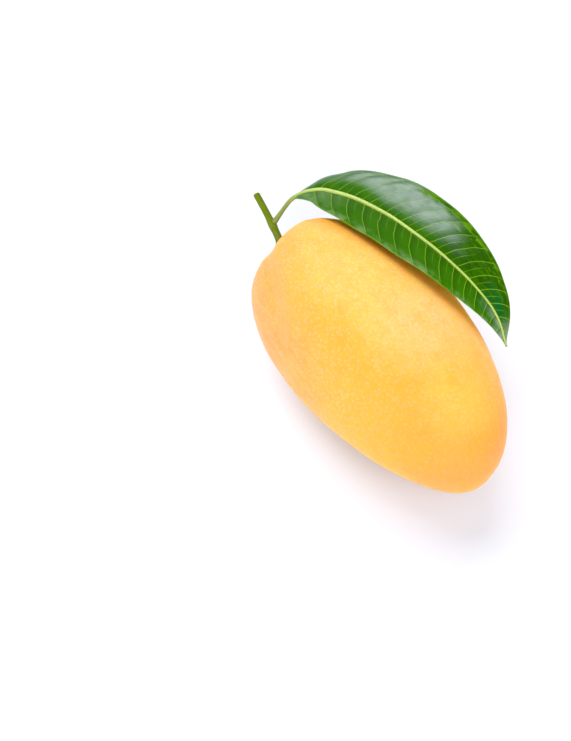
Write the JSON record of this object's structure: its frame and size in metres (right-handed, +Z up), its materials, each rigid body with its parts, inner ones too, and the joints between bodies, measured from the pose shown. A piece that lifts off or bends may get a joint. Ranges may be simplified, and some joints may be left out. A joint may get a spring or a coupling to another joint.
{
  "type": "mango",
  "caption": "Whole ripe golden mango with a short cut stalk and one folded green leaf, lying on its broad side.",
  "frame": {"origin": "centre of the small flat spot on the underside that the fruit rests on", "axes": "+X from the stem end to the beak, +Y to the back of the fruit where the leaf hangs over, +Z up"},
  "size_m": [0.1598, 0.0932, 0.0662],
  "materials": {
    "mango_skin": "waxy golden-yellow skin with dense pale specks, peach towards the belly and the stem end",
    "stalk_bark": "matt olive-green young bark with fine lengthwise ridges",
    "leaf_green": "glossy deep green blade with a pale yellow-green midrib and side veins"
  },
  "bodies": {
    "root": {"mango_fruit": "mango_skin", "fruit_stalk": "stalk_bark", "leaf": "leaf_green"}
  },
  "joints": []
}
